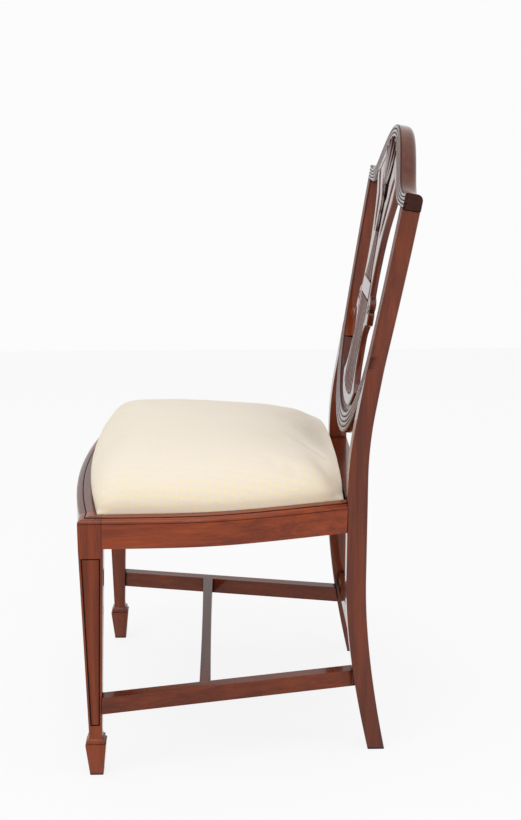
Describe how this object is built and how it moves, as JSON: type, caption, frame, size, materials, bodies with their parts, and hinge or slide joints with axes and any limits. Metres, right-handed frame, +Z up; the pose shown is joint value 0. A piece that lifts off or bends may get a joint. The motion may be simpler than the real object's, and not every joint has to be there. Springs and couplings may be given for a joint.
{
  "type": "dining chair",
  "caption": "Shield back dining chair of polished mahogany with a pierced and carved splat, spade feet and a drop-in seat in checked cloth",
  "frame": {"origin": "on the floor, under the middle of the bounding box", "axes": "+Z up, +Y toward the back of the chair, +X toward the side that the picture shows"},
  "size_m": [0.53, 0.5315, 0.966],
  "materials": {
    "mahogany": "french polished red-brown mahogany",
    "inner_wood": "bare beech",
    "check_fabric": "woven cream cloth with a small yellow and lilac check",
    "canvas": "plain canvas",
    "dust_cloth": "thin black cloth",
    "stuffing": "felted stuffing",
    "webbing": "jute webbing",
    "tack_steel": "blued steel",
    "screw_steel": "plain steel"
  },
  "bodies": {
    "frame": {"corner_block_front_left": "inner_wood", "corner_block_front_right": "inner_wood", "corner_block_rear_left": "inner_wood", "corner_block_rear_right": "inner_wood", "corner_block_screws": "screw_steel", "crest_rail": "mahogany", "cross_stretcher": "mahogany", "front_leg_left": "mahogany", "front_leg_right": "mahogany", "front_seat_rail": "mahogany", "rear_post_left": "mahogany", "rear_post_right": "mahogany", "rear_seat_rail": "mahogany", "rear_stretcher": "mahogany", "shield_lower_rail": "mahogany", "side_seat_rail_left": "mahogany", "side_seat_rail_right": "mahogany", "side_stretcher_left": "mahogany", "side_stretcher_right": "mahogany", "splat": "mahogany"},
    "seat": {"base_cloth": "canvas", "cover_tacks": "tack_steel", "dust_cover": "dust_cloth", "seat_cover": "check_fabric", "seat_frame_front": "inner_wood", "seat_frame_left": "inner_wood", "seat_frame_rear": "inner_wood", "seat_frame_right": "inner_wood", "stuffing_pad": "stuffing", "webbing_cross_strap_1": "webbing", "webbing_cross_strap_2": "webbing", "webbing_cross_strap_3": "webbing", "webbing_strap_1": "webbing", "webbing_strap_2": "webbing", "webbing_strap_3": "webbing", "webbing_strap_4": "webbing", "webbing_tacks": "tack_steel"}
  },
  "joints": [
    {"name": "seat_lift", "type": "slide", "parent": "frame", "child": "seat", "axis": [0, 0, 1], "range_m": [0, 0.1]}
  ]
}
